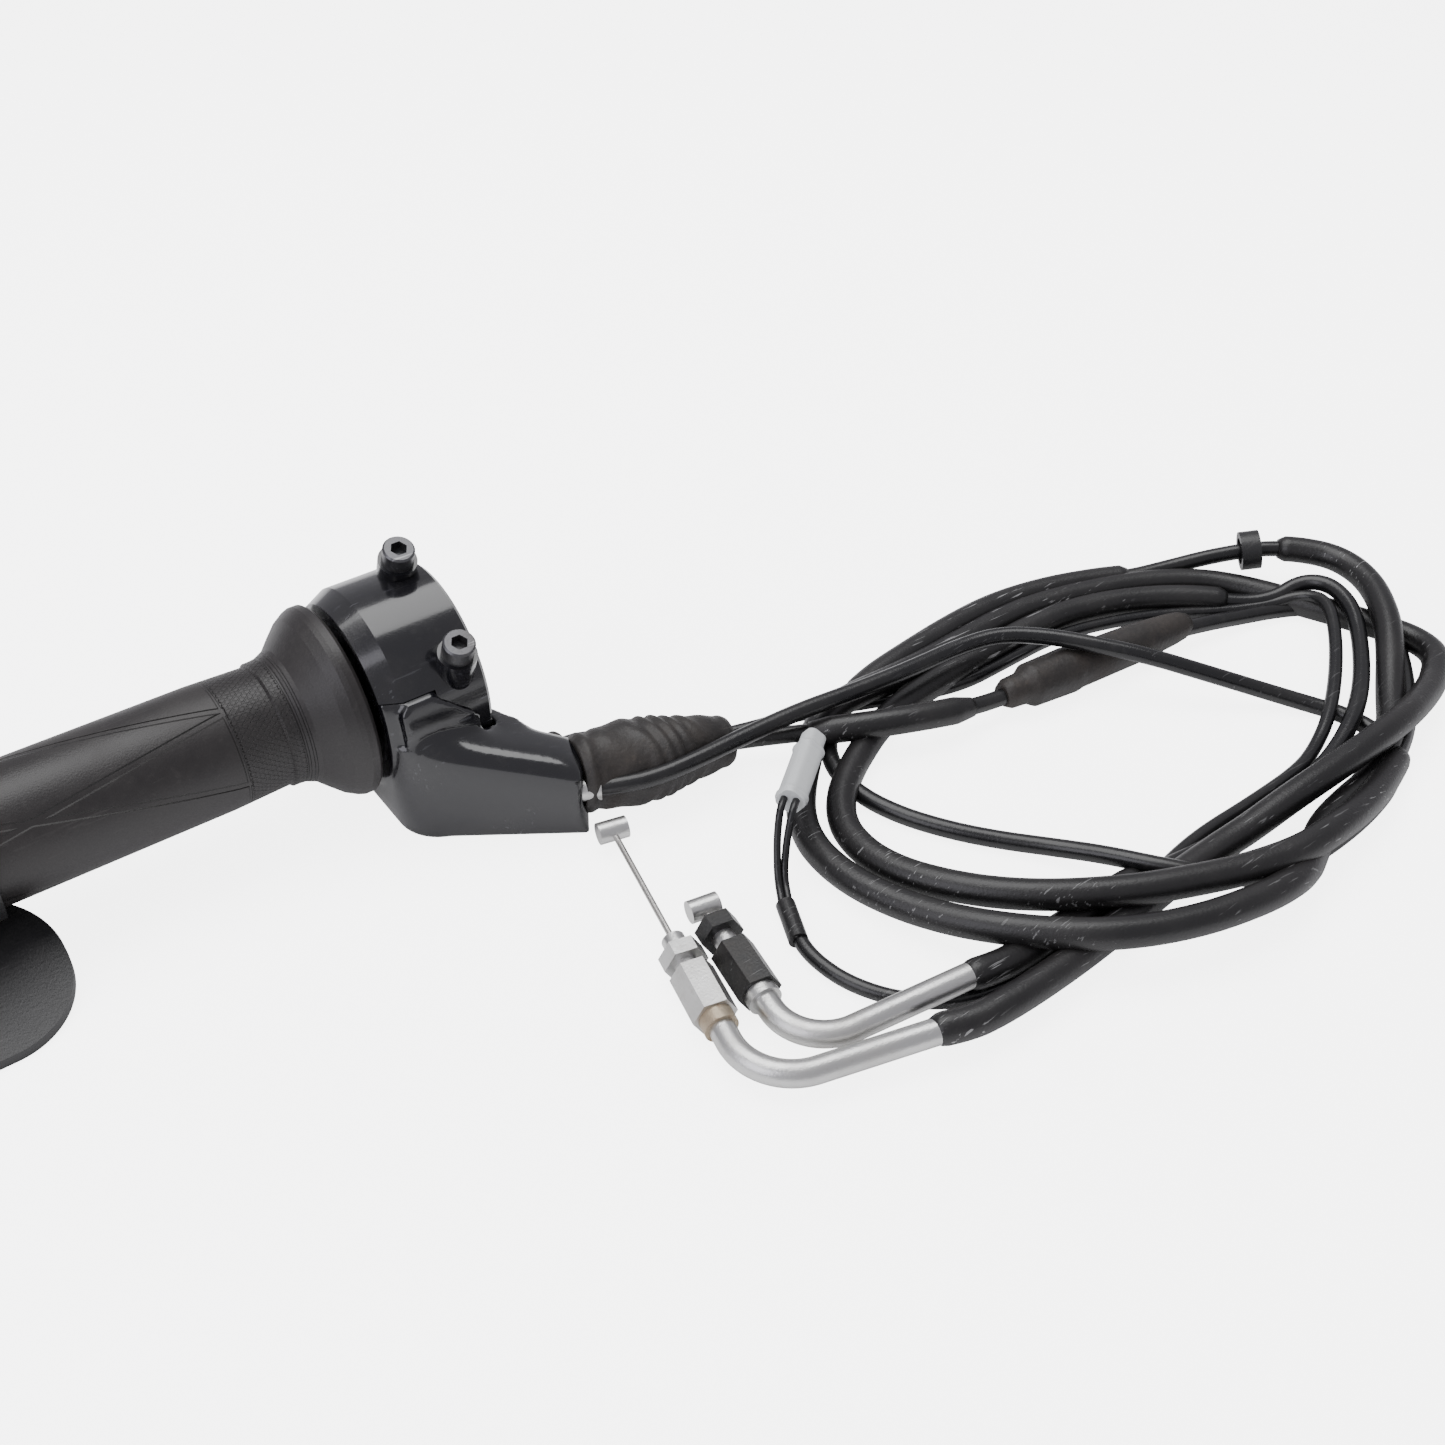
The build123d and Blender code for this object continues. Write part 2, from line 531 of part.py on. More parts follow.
PIPE_STRAIGHT = 3.0


def end_wire(prefix, tip, direction, exposed, inside, nipple_shift):
    """The inner wire's bare end with its barrel nipple across it."""
    out = tuple(-d for d in direction)
    head = along(tip, out, exposed)
    wire = between(along(tip, direction, inside), head, WIRE_R)
    cross = (direction[1], -direction[0], 0)
    nipple = between(along(head, cross, -NIPPLE_L / 2), along(head, cross, NIPPLE_L / 2), NIPPLE_R)
    nipple -= between(along(head, direction, 4), along(head, out, nipple_shift), WIRE_R)
    add(f"{prefix}_end_wire", wire)
    add(f"{prefix}_end_nipple", nipple)


def make_ends():
    pull_dir = (-0.2202, -0.9755, 0)
    tip = elbow("pull", (11.5, -103.5), pull_dir, (4.6, 12.0, 26.7, 30.5), 16.0, PULL_TAIL[0])
    end_wire("pull", tip, pull_dir, 42.6, 2.5, 0.0)
    return_dir = (-0.1712, -0.9852, 0)
    tip = elbow("return", (22.9, -104.6), return_dir, (1.2, 10.6, 25.6, 28.4), 14.0, RETURN_TAIL[0])
    end_wire("return", tip, return_dir, 5.6, 26.5, 0.0)


def make_connector():
    """The two-way connector on the lead, its pair of wires and the sheath over the joint."""
    nose = Vector(77.4, -75.9, CONNECTOR_Z)
    tail = Vector(56.0, -92.5, CONNECTOR_Z)
    run = tail - nose
    plane = Plane(origin=nose, x_dir=run.cross(Vector(0, 0, 1)), z_dir=run)
    shell = extrude(plane * RectangleRounded(9.6, 6.6, 1.0), amount=run.length)
    latch = plane * Pos(0, 3.7, 6) * Box(3.4, 1.8, 10)
    shell += latch
    for side in (-1, 1):
        shell -= plane * Pos(side * 2.2, 0, 0) * Box(2.4, 3.0, 16)
    add("connector_housing", shell)

    for number, side in enumerate((-1, 1), start=1):
        shift = plane.x_dir * (1.6 * side)
        first = tail + shift
        points = [first + run.normalized() * (-2), first + run.normalized() * 4]
        points += [Vector(49.8 - side * 0.9, -97.4 + side * 0.9, -18.5)]
        points += [Vector(46.4 - side * 1.0, -101.6, -26.5), Vector(42.6 - side * 1.05, -109.0, -29.3)]
        route = [tuple(p) for p in points]
        add(f"connector_wire_{number}", cord(f"connector_wire_{number}", route, 1.0))
    add("lead_sheath", between((43.2, -107.8, -29.4), (38.2, -119.6, -29.4), 2.55))


def main():
    make_housing()
    make_clamp_bolts()
    make_throttle()
    make_palm_rest()
    make_neck_fittings()
    make_boot()
    make_cables()
    make_adjuster()
    make_ends()
    make_connector()
    for name, shape in PARTS.items():
        export_step(shape, f"parts/{name}.step")


main()
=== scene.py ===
import math

import bmesh
import bpy
from mathutils import Matrix, Vector


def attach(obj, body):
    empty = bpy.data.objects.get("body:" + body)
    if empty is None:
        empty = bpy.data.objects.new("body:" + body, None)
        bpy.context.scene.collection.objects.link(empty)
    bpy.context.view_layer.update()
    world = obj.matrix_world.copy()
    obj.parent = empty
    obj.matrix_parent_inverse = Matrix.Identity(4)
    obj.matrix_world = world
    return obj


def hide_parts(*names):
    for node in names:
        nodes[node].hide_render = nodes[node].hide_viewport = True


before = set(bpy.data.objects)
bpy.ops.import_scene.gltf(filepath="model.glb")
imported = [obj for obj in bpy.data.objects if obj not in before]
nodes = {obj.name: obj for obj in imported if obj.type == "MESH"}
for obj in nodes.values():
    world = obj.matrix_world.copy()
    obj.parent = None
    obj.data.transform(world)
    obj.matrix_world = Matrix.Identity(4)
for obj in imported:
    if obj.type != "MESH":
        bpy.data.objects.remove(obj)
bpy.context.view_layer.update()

# ---------------------------------------------------------------- sizes, mm
TABLE_Z = -32.0
CABLE_R = 2.5
SLEEVE_R = 4.1
LEAD_R = 2.0

# Relief of the grip, in metres along the bar: the knurled band and the ring lines either side of it.
GRIP_BAND = (-0.0555, -0.0415)
GRIP_RINGS = (-0.0405, -0.039, -0.0565)
BAND_EDGE = 0.0004
KNURL_PITCH = 0.0022
KNURL_STARTS = 30.0

# Lines the cables lie along, mm, from the housing outward.
PULL_LINE = (
    (21.5, -51.2, -19.4), (29.4, -55.9, -18.6), (37.8, -59.7, -17.3), (50.4, -60.6, -16.8),
    (64, -60.3, -16.8), (84, -60.8, -16.6), (101, -62.7, -16.8), (121.5, -64.5, -16.6),
    (140.5, -64.9, -16.5), (153.4, -68.3, -15.6), (164.2, -77.9, -15.4), (173.6, -89.2, -16),
    (183.1, -100.2, -17.5), (193.4, -110.9, -21), (204.8, -121, -25.5), (214.8, -131.9, -28.8),
    (221, -142.5, -29.5), (222.5, -154, -29.5), (216.5, -164, -29.5), (205, -170.5, -29.5),
    (190, -174, -29.5), (172, -175.5, -29.5), (155, -175, -29.2), (142, -171.5, -27),
    (131.5, -165.2, -24), (124.5, -156.5, -23.8), (118.8, -144.7, -26), (112, -133, -28.6),
    (103.7, -122.6, -29.5), (95.6, -112, -29.5), (88.6, -99.6, -29.5), (85.1, -87.1, -29.5),
    (86, -74.5, -29.5), (92, -64, -29.5), (103, -56, -29.2), (118, -50.5, -28.2),
    (136, -48, -27.8), (155, -45.5, -27.8), (174, -44.5, -27.8), (193.5, -47.6, -27.8),
    (211.5, -54, -27.8), (221, -58.6, -28), (232.8, -63.4, -26.5), (242.9, -68.8, -24),
    (251, -74, -22), (258.4, -80, -20), (266.8, -87.9, -19.4), (272.8, -98.3, -19.4),
    (270.3, -112, -19.4), (259.7, -126.4, -20), (248.4, -136.8, -22.5), (237, -146, -26.2),
    (227, -154.5, -27.8), (215, -162, -27.8), (201.5, -166.5, -27.8), (187.7, -168, -27.8),
    (175, -170.5, -27.6), (163.5, -176.5, -26), (152, -181.8, -22.5), (139.6, -183.3, -20.2),
    (126.4, -181.7, -19.4), (115, -178.8, -19.4), (102.8, -174, -19.4), (92, -167.8, -19.4),
    (83.5, -159.8, -20.5), (76, -150.5, -22), (69.3, -139.6, -24), (64, -126.7, -26),
    (60.3, -112.6, -27), (60.5, -98.1, -27.8), (64.7, -86.8, -27.8), (72.5, -77, -27.8),
    (82, -68, -27), (90, -61, -25.5), (101, -56.6, -24.5), (126, -55.6, -26.6),
    (148, -53.6, -27.8), (173, -51.4, -27.8), (192, -53.8, -27.8), (211, -59.4, -27.8),
    (226, -65.6, -27.8), (238.6, -74.4, -27.8), (247.1, -86.3, -27.8), (253.8, -100.7, -27.8),
    (259.5, -113, -27.8), (264, -124, -27.8), (266.5, -134.5, -27.4), (262.5, -144.2, -26),
    (250, -151.5, -24.8), (236, -156.3, -22.5), (221, -160, -19.6), (204.6, -161.6, -19.3),
    (187.4, -161.8, -20.5), (171.7, -161.3, -22.5), (156.9, -161, -25.2), (145, -160.4, -26.6),
    (126.7, -161.4, -26.6), (109.7, -163.9, -26), (93.5, -166, -25.6), (75, -167.5, -24.8),
    (60, -167.9, -24.2), (50.5, -166.8, -24.3), (42.6, -163.4, -24.4),
)
RETURN_LINE = (
    (24.6, -44.6, -20), (32.2, -48.2, -20.6), (44, -48.8, -22), (56, -49.8, -23.8),
    (66.5, -52.4, -24.8), (75.5, -56.4, -24.8), (85, -61.4, -24.6), (96, -69.2, -22.8),
    (108.3, -75.8, -21.8), (121, -79.6, -22.8), (133, -81.2, -24.8), (142.6, -82.3, -25.3),
    (156, -83.6, -25.3), (172, -85.3, -25.3), (190, -87.2, -25.3), (207, -89.2, -25.5),
    (221, -91.6, -26.8), (234, -94, -28.6), (247, -97.6, -29.4), (258, -103.5, -29.4),
    (265, -112, -29.4), (267.5, -122, -29.4), (262, -131.5, -29.4), (254, -139.4, -29.4),
    (245, -147, -29), (231, -157.4, -28.4), (215, -165, -27.4), (198.4, -171.2, -25),
    (183, -175.4, -22), (168, -177.6, -19.4), (154.6, -178, -18.8), (139, -174.4, -19.2),
    (126, -169.6, -19.2), (113.5, -164.2, -19.4), (102.7, -157.7, -20), (93, -150.3, -21),
    (84.6, -141.5, -22.5), (77.5, -131.3, -24), (72, -118.9, -26), (70, -107.2, -27),
    (72, -95.9, -27.8), (78.1, -86.8, -27.8), (86.8, -80, -27.8), (96, -74.6, -27.8),
    (106, -69.4, -27.8), (119, -65.2, -27.8), (140.6, -62.6, -27.8), (163.8, -60.6, -27.8),
    (186.3, -60.2, -27.8), (203.6, -64.4, -27.8), (218.5, -71.4, -27.8), (231, -80.4, -27.8),
    (239.6, -89, -28.4), (247.7, -95, -26.8), (256.9, -97, -22.8), (261, -104.5, -21),
    (257.5, -115.7, -21.5), (247.7, -126.8, -23.4), (231.8, -139.8, -24.4), (217, -148.3, -25.6),
    (202, -153.4, -28.4), (184, -156.5, -29.5), (162, -157.7, -29.5), (136, -156.4, -29.3),
    (119, -154.6, -27.8), (103, -155.6, -27.6), (88.6, -156.4, -27.2), (77, -157.3, -26.4),
    (68.5, -157.4, -25.2), (60, -156, -24.2),
)
LEAD_LINE = (
    (18.4, -30, -20.9), (29.5, -26.4, -23), (41, -29, -26.4), (53, -36, -29.4), (66, -42.6, -29.9),
    (80, -46.4, -29.9), (94, -49.4, -29.9), (107, -54.4, -29.9), (122, -60.4, -29.9),
    (140, -67, -29.9), (160, -66.4, -29.9), (180, -65.6, -29.9), (200, -70.4, -29.9),
    (218, -78, -29.9), (233, -87.6, -29.9), (245, -95, -28.4), (253.6, -100.4, -24.6),
    (255, -108.7, -22.4), (245.4, -119.6, -23.6), (229.6, -132.3, -24.8), (214, -142.6, -26.6),
    (202, -147.8, -29.4), (190.8, -150.9, -29.9), (169, -152, -29.9), (149.5, -152.2, -29.9),
    (134, -154.4, -29.9), (120, -158, -29.9), (104, -160, -29.9), (88, -161.2, -29.9),
    (72, -161, -29.9), (57.6, -157.6, -29.9), (46.4, -149, -29.9), (39.8, -138, -29.9),
    (37.6, -127, -29.8), (38.8, -118, -29.7), (43.2, -107.8, -29.6),
)


def metres(point):
    return Vector(point) * 0.001


# ---------------------------------------------------------------- camera
camera_data = bpy.data.cameras.new("camera")
camera_data.sensor_width = 36.0
camera_data.lens = 40.36
camera_data.clip_start = 0.01
camera = bpy.data.objects.new("camera", camera_data)
bpy.context.scene.collection.objects.link(camera)
forward = Vector((0.4545, 0.6235, -0.636)).normalized()
right = forward.cross(Vector((0, 0, 1))).normalized()
upward = right.cross(forward)
turn = Matrix((right, upward, -forward)).transposed().to_4x4()
camera.matrix_world = Matrix.Translation((-0.1394, -0.3312, 0.2679)) @ turn
bpy.context.scene.camera = camera


# ---------------------------------------------------------------- surface node groups
def start_group(name, inputs, outputs):
    group = bpy.data.node_groups.new(name, "ShaderNodeTree")
    for label, kind, value in inputs:
        socket = group.interface.new_socket(name=label, in_out="INPUT", socket_type=kind)
        socket.default_value = value
    for label, kind in outputs:
        group.interface.new_socket(name=label, in_out="OUTPUT", socket_type=kind)
    return group, group.nodes.new("NodeGroupInput"), group.nodes.new("NodeGroupOutput")


def join(tree, source, target):
    tree.links.new(source, target)


def maths(tree, operation, first, second=None, third=None):
    node = tree.nodes.new("ShaderNodeMath")
    node.operation = operation
    for index, value in enumerate((first, second, third)):
        if value is None:
            continue
        if isinstance(value, (int, float)):
            node.inputs[index].default_value = value
        else:
            join(tree, value, node.inputs[index])
    return node.outputs[0]


def noise(tree, vector, scale, detail=3.0, rough=0.55):
    node = tree.nodes.new("ShaderNodeTexNoise")
    join(tree, vector, node.inputs["Vector"])
    if isinstance(scale, (int, float)):
        node.inputs["Scale"].default_value = scale
    else:
        join(tree, scale, node.inputs["Scale"])
    node.inputs["Detail"].default_value = detail
    node.inputs["Roughness"].default_value = rough
    return node.outputs["Fac"]


def remap(tree, value, low, high, to_low=0.0, to_high=1.0):
    node = tree.nodes.new("ShaderNodeMapRange")
    join(tree, value, node.inputs["Value"])
    node.inputs["From Min"].default_value = low
    node.inputs["From Max"].default_value = high
    node.inputs["To Min"].default_value = to_low
    node.inputs["To Max"].default_value = to_high
    return node.outputs["Result"]


def mix_colour(tree, factor, first, second):
    node = tree.nodes.new("ShaderNodeMix")
    node.data_type = "RGBA"
    join(tree, factor, node.inputs["Factor"])
    join(tree, first, node.inputs[6])
    join(tree, second, node.inputs[7])
    return node.outputs[2]


def make_wear_group():
    """Grain, long fine scratches and patches of dust or rust for any surface."""
    inputs = (
        ("Base", "NodeSocketColor", (0.02, 0.02, 0.02, 1)),
        ("Mark", "NodeSocketColor", (0.3, 0.3, 0.3, 1)),
        ("Dust", "NodeSocketColor", (0.3, 0.28, 0.25, 1)),
        ("Roughness", "NodeSocketFloat", 0.4),
        ("Spread", "NodeSocketFloat", 0.15),
        ("Grain", "NodeSocketFloat", 900.0),
        ("Scratches", "NodeSocketFloat", 0.3),
        ("Dusting", "NodeSocketFloat", 0.2),
    )
    outputs = (("Colour", "NodeSocketColor"), ("Roughness", "NodeSocketFloat"), ("Height", "NodeSocketFloat"))
    group, given, result = start_group("worn_surface", inputs, outputs)
    place = group.nodes.new("ShaderNodeTexCoord").outputs["Object"]
    grain = noise(group, place, given.outputs["Grain"], 2.0)
    patches = noise(group, place, 42.0, 5.0, 0.65)
    specks = noise(group, place, 420.0, 2.0)
    marks = None
    for angle, scale in ((0.5, 55.0), (2.1, 70.0)):
        mapping = group.nodes.new("ShaderNodeMapping")
        mapping.inputs["Rotation"].default_value = (0.4, angle * 0.6, angle)
        mapping.inputs["Scale"].default_value = (1.0, 22.0, 9.0)
        join(group, place, mapping.inputs["Vector"])
        line = remap(group, noise(group, mapping.outputs["Vector"], scale, 2.0), 0.67, 0.71)
        marks = line if marks is None else maths(group, "MAXIMUM", marks, line)
    local = remap(group, noise(group, place, 26.0, 3.0), 0.42, 0.62)
    marks = maths(group, "MULTIPLY", maths(group, "MULTIPLY", marks, local), given.outputs["Scratches"])
    dusty = maths(group, "ADD", remap(group, patches, 0.45, 0.72), remap(group, specks, 0.6, 0.72, 0, 0.5))
    dusty = maths(group, "MULTIPLY", dusty, given.outputs["Dusting"])
    colour = mix_colour(group, marks, given.outputs["Base"], given.outputs["Mark"])
    colour = mix_colour(group, dusty, colour, given.outputs["Dust"])
    join(group, colour, result.inputs["Colour"])
    swing = maths(group, "MULTIPLY", maths(group, "SUBTRACT", patches, 0.5), given.outputs["Spread"])
    rough = maths(group, "ADD", maths(group, "ADD", given.outputs["Roughness"], swing),
                  maths(group, "MULTIPLY", dusty, 0.3))
    join(group, rough, result.inputs["Roughness"])
    height = maths(group, "ADD", grain, maths(group, "MULTIPLY", patches, 0.6))
    height = maths(group, "SUBTRACT", height, maths(group, "MULTIPLY", marks, 0.4))
    join(group, height, result.inputs["Height"])
    return group


def make_grip_group():
    """Moulded relief of the grip: slanting ribs, two ring lines and a knurled band."""
    group, given, result = start_group("grip_relief", (), (("Height", "NodeSocketFloat"),))
    split = group.nodes.new("ShaderNodeSeparateXYZ")
    join(group, group.nodes.new("ShaderNodeTexCoord").outputs["Object"], split.inputs[0])
    along = split.outputs[0]
    angle = maths(group, "ARCTAN2", split.outputs[1], split.outputs[2])

    def line(position, half):
        away = maths(group, "ABSOLUTE", maths(group, "ADD", along, -position))
        return remap(group, away, half * 0.6, half, 1.0, 0.0)

    def slanted(pitch, lean, width):
        turns = maths(group, "ADD", maths(group, "MULTIPLY", along, 1.0 / pitch),
                      maths(group, "MULTIPLY", angle, lean))
        part = maths(group, "PINGPONG", turns, 0.5)
        return remap(group, part, width * 0.6, width, 1.0, 0.0)

    ribs = maths(group, "MAXIMUM", slanted(0.085, 2.5 / math.pi, 0.045), slanted(0.24, -1.5 / math.pi, 0.028))
    band = maths(group, "MULTIPLY", remap(group, along, GRIP_BAND[0] - BAND_EDGE, GRIP_BAND[0]),
                 remap(group, along, GRIP_BAND[1], GRIP_BAND[1] + BAND_EDGE, 1.0, 0.0))
    end = remap(group, along, GRIP_BAND[1], GRIP_BAND[1] + BAND_EDGE, 1.0, 0.0)
    knurl = maths(group, "MAXIMUM", slanted(KNURL_PITCH, KNURL_STARTS / math.pi, 0.16),
                  slanted(KNURL_PITCH, -KNURL_STARTS / math.pi, 0.16))
    plain = maths(group, "MULTIPLY", ribs, maths(group, "SUBTRACT", end, band))
    cut = maths(group, "MAXIMUM", plain, maths(group, "MULTIPLY", knurl, band))
    for position in GRIP_RINGS:
        cut = maths(group, "MAXIMUM", cut, line(position, BAND_EDGE))
    join(group, maths(group, "SUBTRACT", 1.0, cut), result.inputs["Height"])
    return group


worn_surface = make_wear_group()
grip_relief = make_grip_group()


def surface(name, base, mark, dust, rough, spread, grain, scratches, dusting, bump,
            metal=0.0, coat=0.0, relief=None):
    """A finish: the shared wear group with its own values, and carved relief where one is given."""
    material = bpy.data.materials.new(name)
    material.use_nodes = True
    tree = material.node_tree
    shader = tree.nodes["Principled BSDF"]
    wear = tree.nodes.new("ShaderNodeGroup")
    wear.node_tree = worn_surface
    settings = (
        ("Base", (*base, 1)), ("Mark", (*mark, 1)), ("Dust", (*dust, 1)), ("Roughness", rough),
        ("Spread", spread), ("Grain", grain), ("Scratches", scratches), ("Dusting", dusting),
    )
    for label, value in settings:
        wear.inputs[label].default_value = value
    join(tree, wear.outputs["Colour"], shader.inputs["Base Color"])
    join(tree, wear.outputs["Roughness"], shader.inputs["Roughness"])
    shader.inputs["Metallic"].default_value = metal
    shader.inputs["Coat Weight"].default_value = coat
    shader.inputs["Coat Roughness"].default_value = 0.08
    fine = tree.nodes.new("ShaderNodeBump")
    fine.inputs["Strength"].default_value = bump
    fine.inputs["Distance"].default_value = 0.0003
    join(tree, wear.outputs["Height"], fine.inputs["Height"])
    if relief is not None:
        carved = tree.nodes.new("ShaderNodeGroup")
        carved.node_tree = relief
        deep = tree.nodes.new("ShaderNodeBump")
        deep.inputs["Strength"].default_value = 1.0
        deep.inputs["Distance"].default_value = 0.0012
        join(tree, carved.outputs["Height"], deep.inputs["Height"])
        join(tree, deep.outputs["Normal"], fine.inputs["Normal"])
    join(tree, fine.outputs["Normal"], shader.inputs["Normal"])
    return material


dust = (0.2, 0.19, 0.17)
finishes = {
    "gloss_black": surface("housing_black", (0.005, 0.005, 0.007), (0.16, 0.16, 0.18), dust,
                           0.18, 0.14, 1500, 0.4, 0.05, 0.06, coat=0.5),
    "black_plastic": surface("moulded_black", (0.014, 0.014, 0.015), (0.14, 0.14, 0.14), dust,
                             0.42, 0.2, 1400, 0.3, 0.06, 0.25),
    "grip_rubber": surface("grip_black_rubber", (0.013, 0.011, 0.011), (0.06, 0.057, 0.055),
                           (0.068, 0.062, 0.057), 0.42, 0.2, 1800, 0.25, 0.2, 0.2, relief=grip_relief),
    "dusty_rubber": surface("boot_dusty_rubber", (0.014, 0.012, 0.011), (0.08, 0.07, 0.06),
                            (0.075, 0.06, 0.048), 0.5, 0.25, 700, 0.3, 0.4, 0.6),
    "sleeve_rubber": surface("sleeve_black_rubber", (0.009, 0.0085, 0.009), (0.5, 0.5, 0.5),
                             (0.08, 0.074, 0.07), 0.38, 0.2, 1300, 0.55, 0.1, 0.25),
    "cable_sheath": surface("cable_black_sheath", (0.007, 0.007, 0.008), (0.2, 0.2, 0.2), dust,
                            0.28, 0.15, 1300, 0.3, 0.05, 0.15),
    "pale_plastic": surface("connector_pale_plastic", (0.62, 0.64, 0.64), (0.4, 0.4, 0.38),
                            (0.34, 0.32, 0.28), 0.38, 0.15, 1200, 0.25, 0.12, 0.1),
    "zinc_steel": surface("zinc_plating", (0.6, 0.6, 0.59), (0.85, 0.85, 0.85), (0.3, 0.27, 0.22),
                          0.34, 0.3, 1600, 0.4, 0.3, 0.2, metal=0.95),
    "wire_steel": surface("wire_bright_steel", (0.5, 0.49, 0.47), (0.8, 0.8, 0.8), (0.25, 0.2, 0.15),
                          0.35, 0.2, 2500, 0.3, 0.25, 0.3, metal=0.95),
    "black_steel": surface("blackened_steel", (0.02, 0.02, 0.02), (0.4, 0.4, 0.4), (0.12, 0.1, 0.08),
                           0.32, 0.2, 1600, 0.4, 0.2, 0.2, metal=0.4),
    "rusty_steel": surface("rusty_plating", (0.45, 0.38, 0.28), (0.7, 0.66, 0.6), (0.2, 0.09, 0.035),
                           0.45, 0.3, 1200, 0.3, 0.75, 0.4, metal=0.7),
}
bolt_finish = surface("bolt_dark_steel", (0.1, 0.1, 0.105), (0.6, 0.6, 0.6), (0.12, 0.1, 0.08),
                      0.36, 0.25, 1600, 0.5, 0.25, 0.2, metal=0.85)
for node in nodes.values():
    for index, old in enumerate(node.data.materials):
        slot_name = old.name.split(".")[0] if old else ""
        if slot_name in finishes:
            node.data.materials[index] = finishes[slot_name]
nodes["clamp_bolts"].data.materials[0] = bolt_finish


# ---------------------------------------------------------------- shapes
def place_object(name, data, slot_name, body="housing"):
    piece = bpy.data.objects.new(name, data)
    bpy.context.scene.collection.objects.link(piece)
    data.materials.append(finishes[slot_name])
    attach(piece, body)
    return piece


def cable_curve(name, line):
    """The cable's line as one open spline through its route."""
    curve = bpy.data.curves.new(name, "CURVE")
    curve.dimensions = "3D"
    curve.resolution_u = 10
    spline = curve.splines.new("NURBS")
    spline.points.add(len(line) - 1)
    for point, where in zip(spline.points, line):
        point.co = (*metres(where), 1.0)
    spline.order_u = 3
    spline.use_endpoint_u = True
    return curve


def centre_points(curve):
    """Points close together along the spline, for the sleeves that follow it."""
    guide = bpy.data.objects.new("guide", curve)
    bpy.context.scene.collection.objects.link(guide)
    mesh = bpy.data.meshes.new_from_object(guide)
    points = [vertex.co.copy() for vertex in mesh.vertices]
    bpy.data.objects.remove(guide)
    bpy.data.meshes.remove(mesh)
    return points


def neighbours(vertex):
    return [edge.other_vert(vertex) for edge in vertex.link_edges]


def edge_between(vertex, after):
    return next(edge for edge in vertex.link_edges if edge.other_vert(vertex) is after)


def tube(name, points, radii, slot_name, sides=24):
    """A closed tube drawn along the points, one ring at each, with its own radius all the way round."""
    shape = bmesh.new()
    ring = bmesh.ops.create_circle(shape, cap_ends=True, segments=sides, radius=0.001)["verts"]
    side = None
    for index, point in enumerate(points):
        ahead = points[min(index + 1, len(points) - 1)] - points[max(index - 1, 0)]
        ahead.normalize()
        if side is None:
            side = ahead.orthogonal().normalized()
        side = (side - ahead * side.dot(ahead)).normalized()
        other = ahead.cross(side)
        if index:
            grown = bmesh.ops.extrude_edge_only(shape, edges=ring_edges)["geom"]
            fresh = {vertex for vertex in grown if isinstance(vertex, bmesh.types.BMVert)}
            ring = [next(other for other in neighbours(vertex) if other in fresh) for vertex in ring]
        following = ring[1:] + ring[:1]
        ring_edges = [edge_between(vertex, after) for vertex, after in zip(ring, following)]
        for step, vertex in enumerate(ring):
            angle = 2 * math.pi * step / sides
            reach = radii[index] if not callable(radii) else radii(index, angle)
            vertex.co = point + (side * math.cos(angle) + other * math.sin(angle)) * reach
    bmesh.ops.contextual_create(shape, geom=ring_edges)
    for face in shape.faces:
        face.smooth = len(face.verts) == 4
    bmesh.ops.recalc_face_normals(shape, faces=shape.faces)
    mesh = bpy.data.meshes.new(name)
    shape.to_mesh(mesh)
    shape.free()
    return place_object(name, mesh, slot_name)


def straight(start, end, steps):
    return [metres(start).lerp(metres(end), index / steps) for index in range(steps + 1)]


def stretch(points, start, end):
    """The part of a line between the points nearest to two places, given in mm."""
    first = min(range(len(points)), key=lambda index: (points[index] - metres(start)).length)
    last = min(range(len(points)), key=lambda index: (points[index] - metres(end)).length)
    return points[first:last + 1]


def sleeve(name, points, radius=SLEEVE_R, lead_in=2.2):
    """Rubber sleeve along a cable, its two ends drawn in to the cable."""
    run = [0.0]
    for one, two in zip(points, points[1:]):
        run.append(run[-1] + (two - one).length)
    radii = []
    for travelled in run:
        near_end = min(travelled, run[-1] - travelled) / (lead_in * 0.001)
        radii.append(0.001 * (radius - 1.1 * max(0.0, 1.0 - near_end)))
    return tube(name, points, radii, "sleeve_rubber")


def softened(name, sources, slot_name, zones, voxel=0.0006):
    """One skin over several moulded pieces, with the edges inside each zone rounded by repeated smoothing."""
    shape = bmesh.new()
    for source in sources:
        shape.from_mesh(nodes[source].data)
    rough_mesh = bpy.data.meshes.new("rough_" + name)
    shape.to_mesh(rough_mesh)
    shape.free()
    holder = bpy.data.objects.new("rough_" + name, rough_mesh)
    bpy.context.scene.collection.objects.link(holder)
    remesh = holder.modifiers.new("skin", "REMESH")
    remesh.mode = "VOXEL"
    remesh.voxel_size = voxel
    skin = bpy.data.meshes.new_from_object(holder.evaluated_get(bpy.context.evaluated_depsgraph_get()))
    bpy.data.objects.remove(holder)
    bpy.data.meshes.remove(rough_mesh)
    shape = bmesh.new()
    shape.from_mesh(skin)
    for inside, passes in zones:
        chosen = [vertex for vertex in shape.verts if inside(vertex.co * 1000)]
        for _ in range(passes):
            bmesh.ops.smooth_vert(shape, verts=chosen, factor=0.5,
                                  use_axis_x=True, use_axis_y=True, use_axis_z=True)
    for face in shape.faces:
        face.smooth = True
    shape.to_mesh(skin)
    shape.free()
    skin.name = name
    skin.materials.clear()
    return place_object(name, skin, slot_name)


